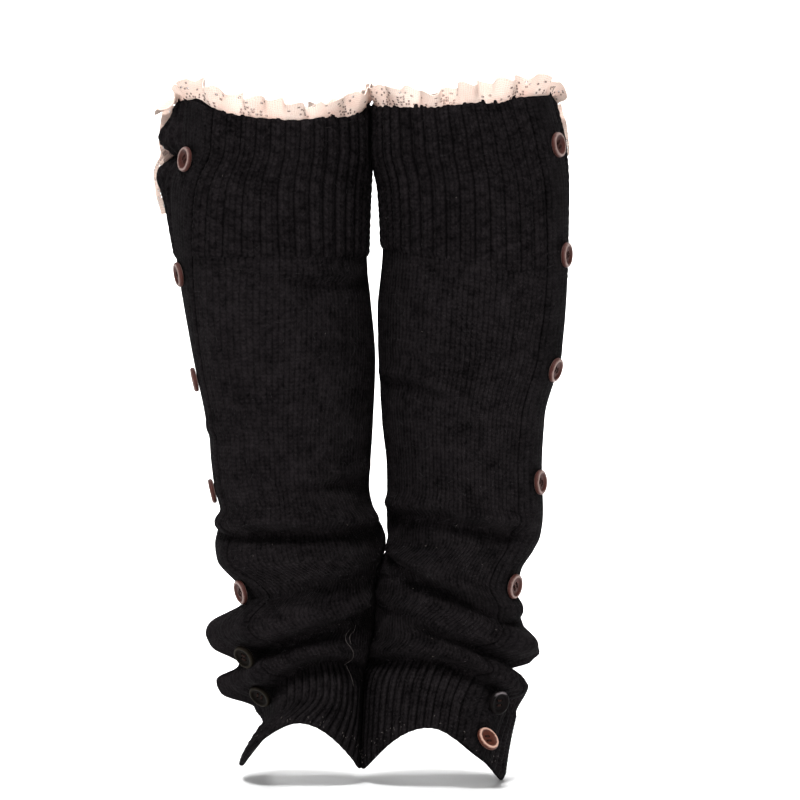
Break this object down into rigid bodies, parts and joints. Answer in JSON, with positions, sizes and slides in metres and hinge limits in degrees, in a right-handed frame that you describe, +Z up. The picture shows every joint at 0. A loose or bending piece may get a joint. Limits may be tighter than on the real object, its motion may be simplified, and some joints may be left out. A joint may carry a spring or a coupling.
{
  "type": "pair of knitted boot cuffs",
  "caption": "Pair of knee-length knitted boot cuffs with cable-rib tops, lace ruffles, a buttoned outer side, slouched folds and ribbed ankles, in the hollow shape they take when worn.",
  "frame": {"origin": "midway between the two cuffs at the height of their top bands, where the wearer's calves hold them", "axes": "+Z up the cuffs towards the knee, -Y to the front of the cuffs, +X from the left cuff of the picture to the right one"},
  "size_m": [0.2514, 0.1283, 0.4229],
  "materials": {
    "black_knit": "matt wool-like knit",
    "cream_lace": "matt cotton lace",
    "dark_wood": "satin, lightly polished"
  },
  "bodies": {
    "root": {"left_top_band": "black_knit", "left_body": "black_knit", "left_ankle_band": "black_knit", "left_button_band": "black_knit", "left_lace": "cream_lace", "left_lace_tail": "cream_lace", "left_button_1": "dark_wood", "left_button_2": "dark_wood", "left_button_3": "dark_wood", "left_button_4": "dark_wood", "left_button_5": "dark_wood", "left_button_6": "dark_wood", "left_button_7": "dark_wood", "right_top_band": "black_knit", "right_body": "black_knit", "right_ankle_band": "black_knit", "right_button_band": "black_knit", "right_lace": "cream_lace", "right_lace_tail": "cream_lace", "right_button_1": "dark_wood", "right_button_2": "dark_wood", "right_button_3": "dark_wood", "right_button_4": "dark_wood", "right_button_5": "dark_wood", "right_button_6": "dark_wood", "right_button_7": "dark_wood"}
  },
  "joints": []
}
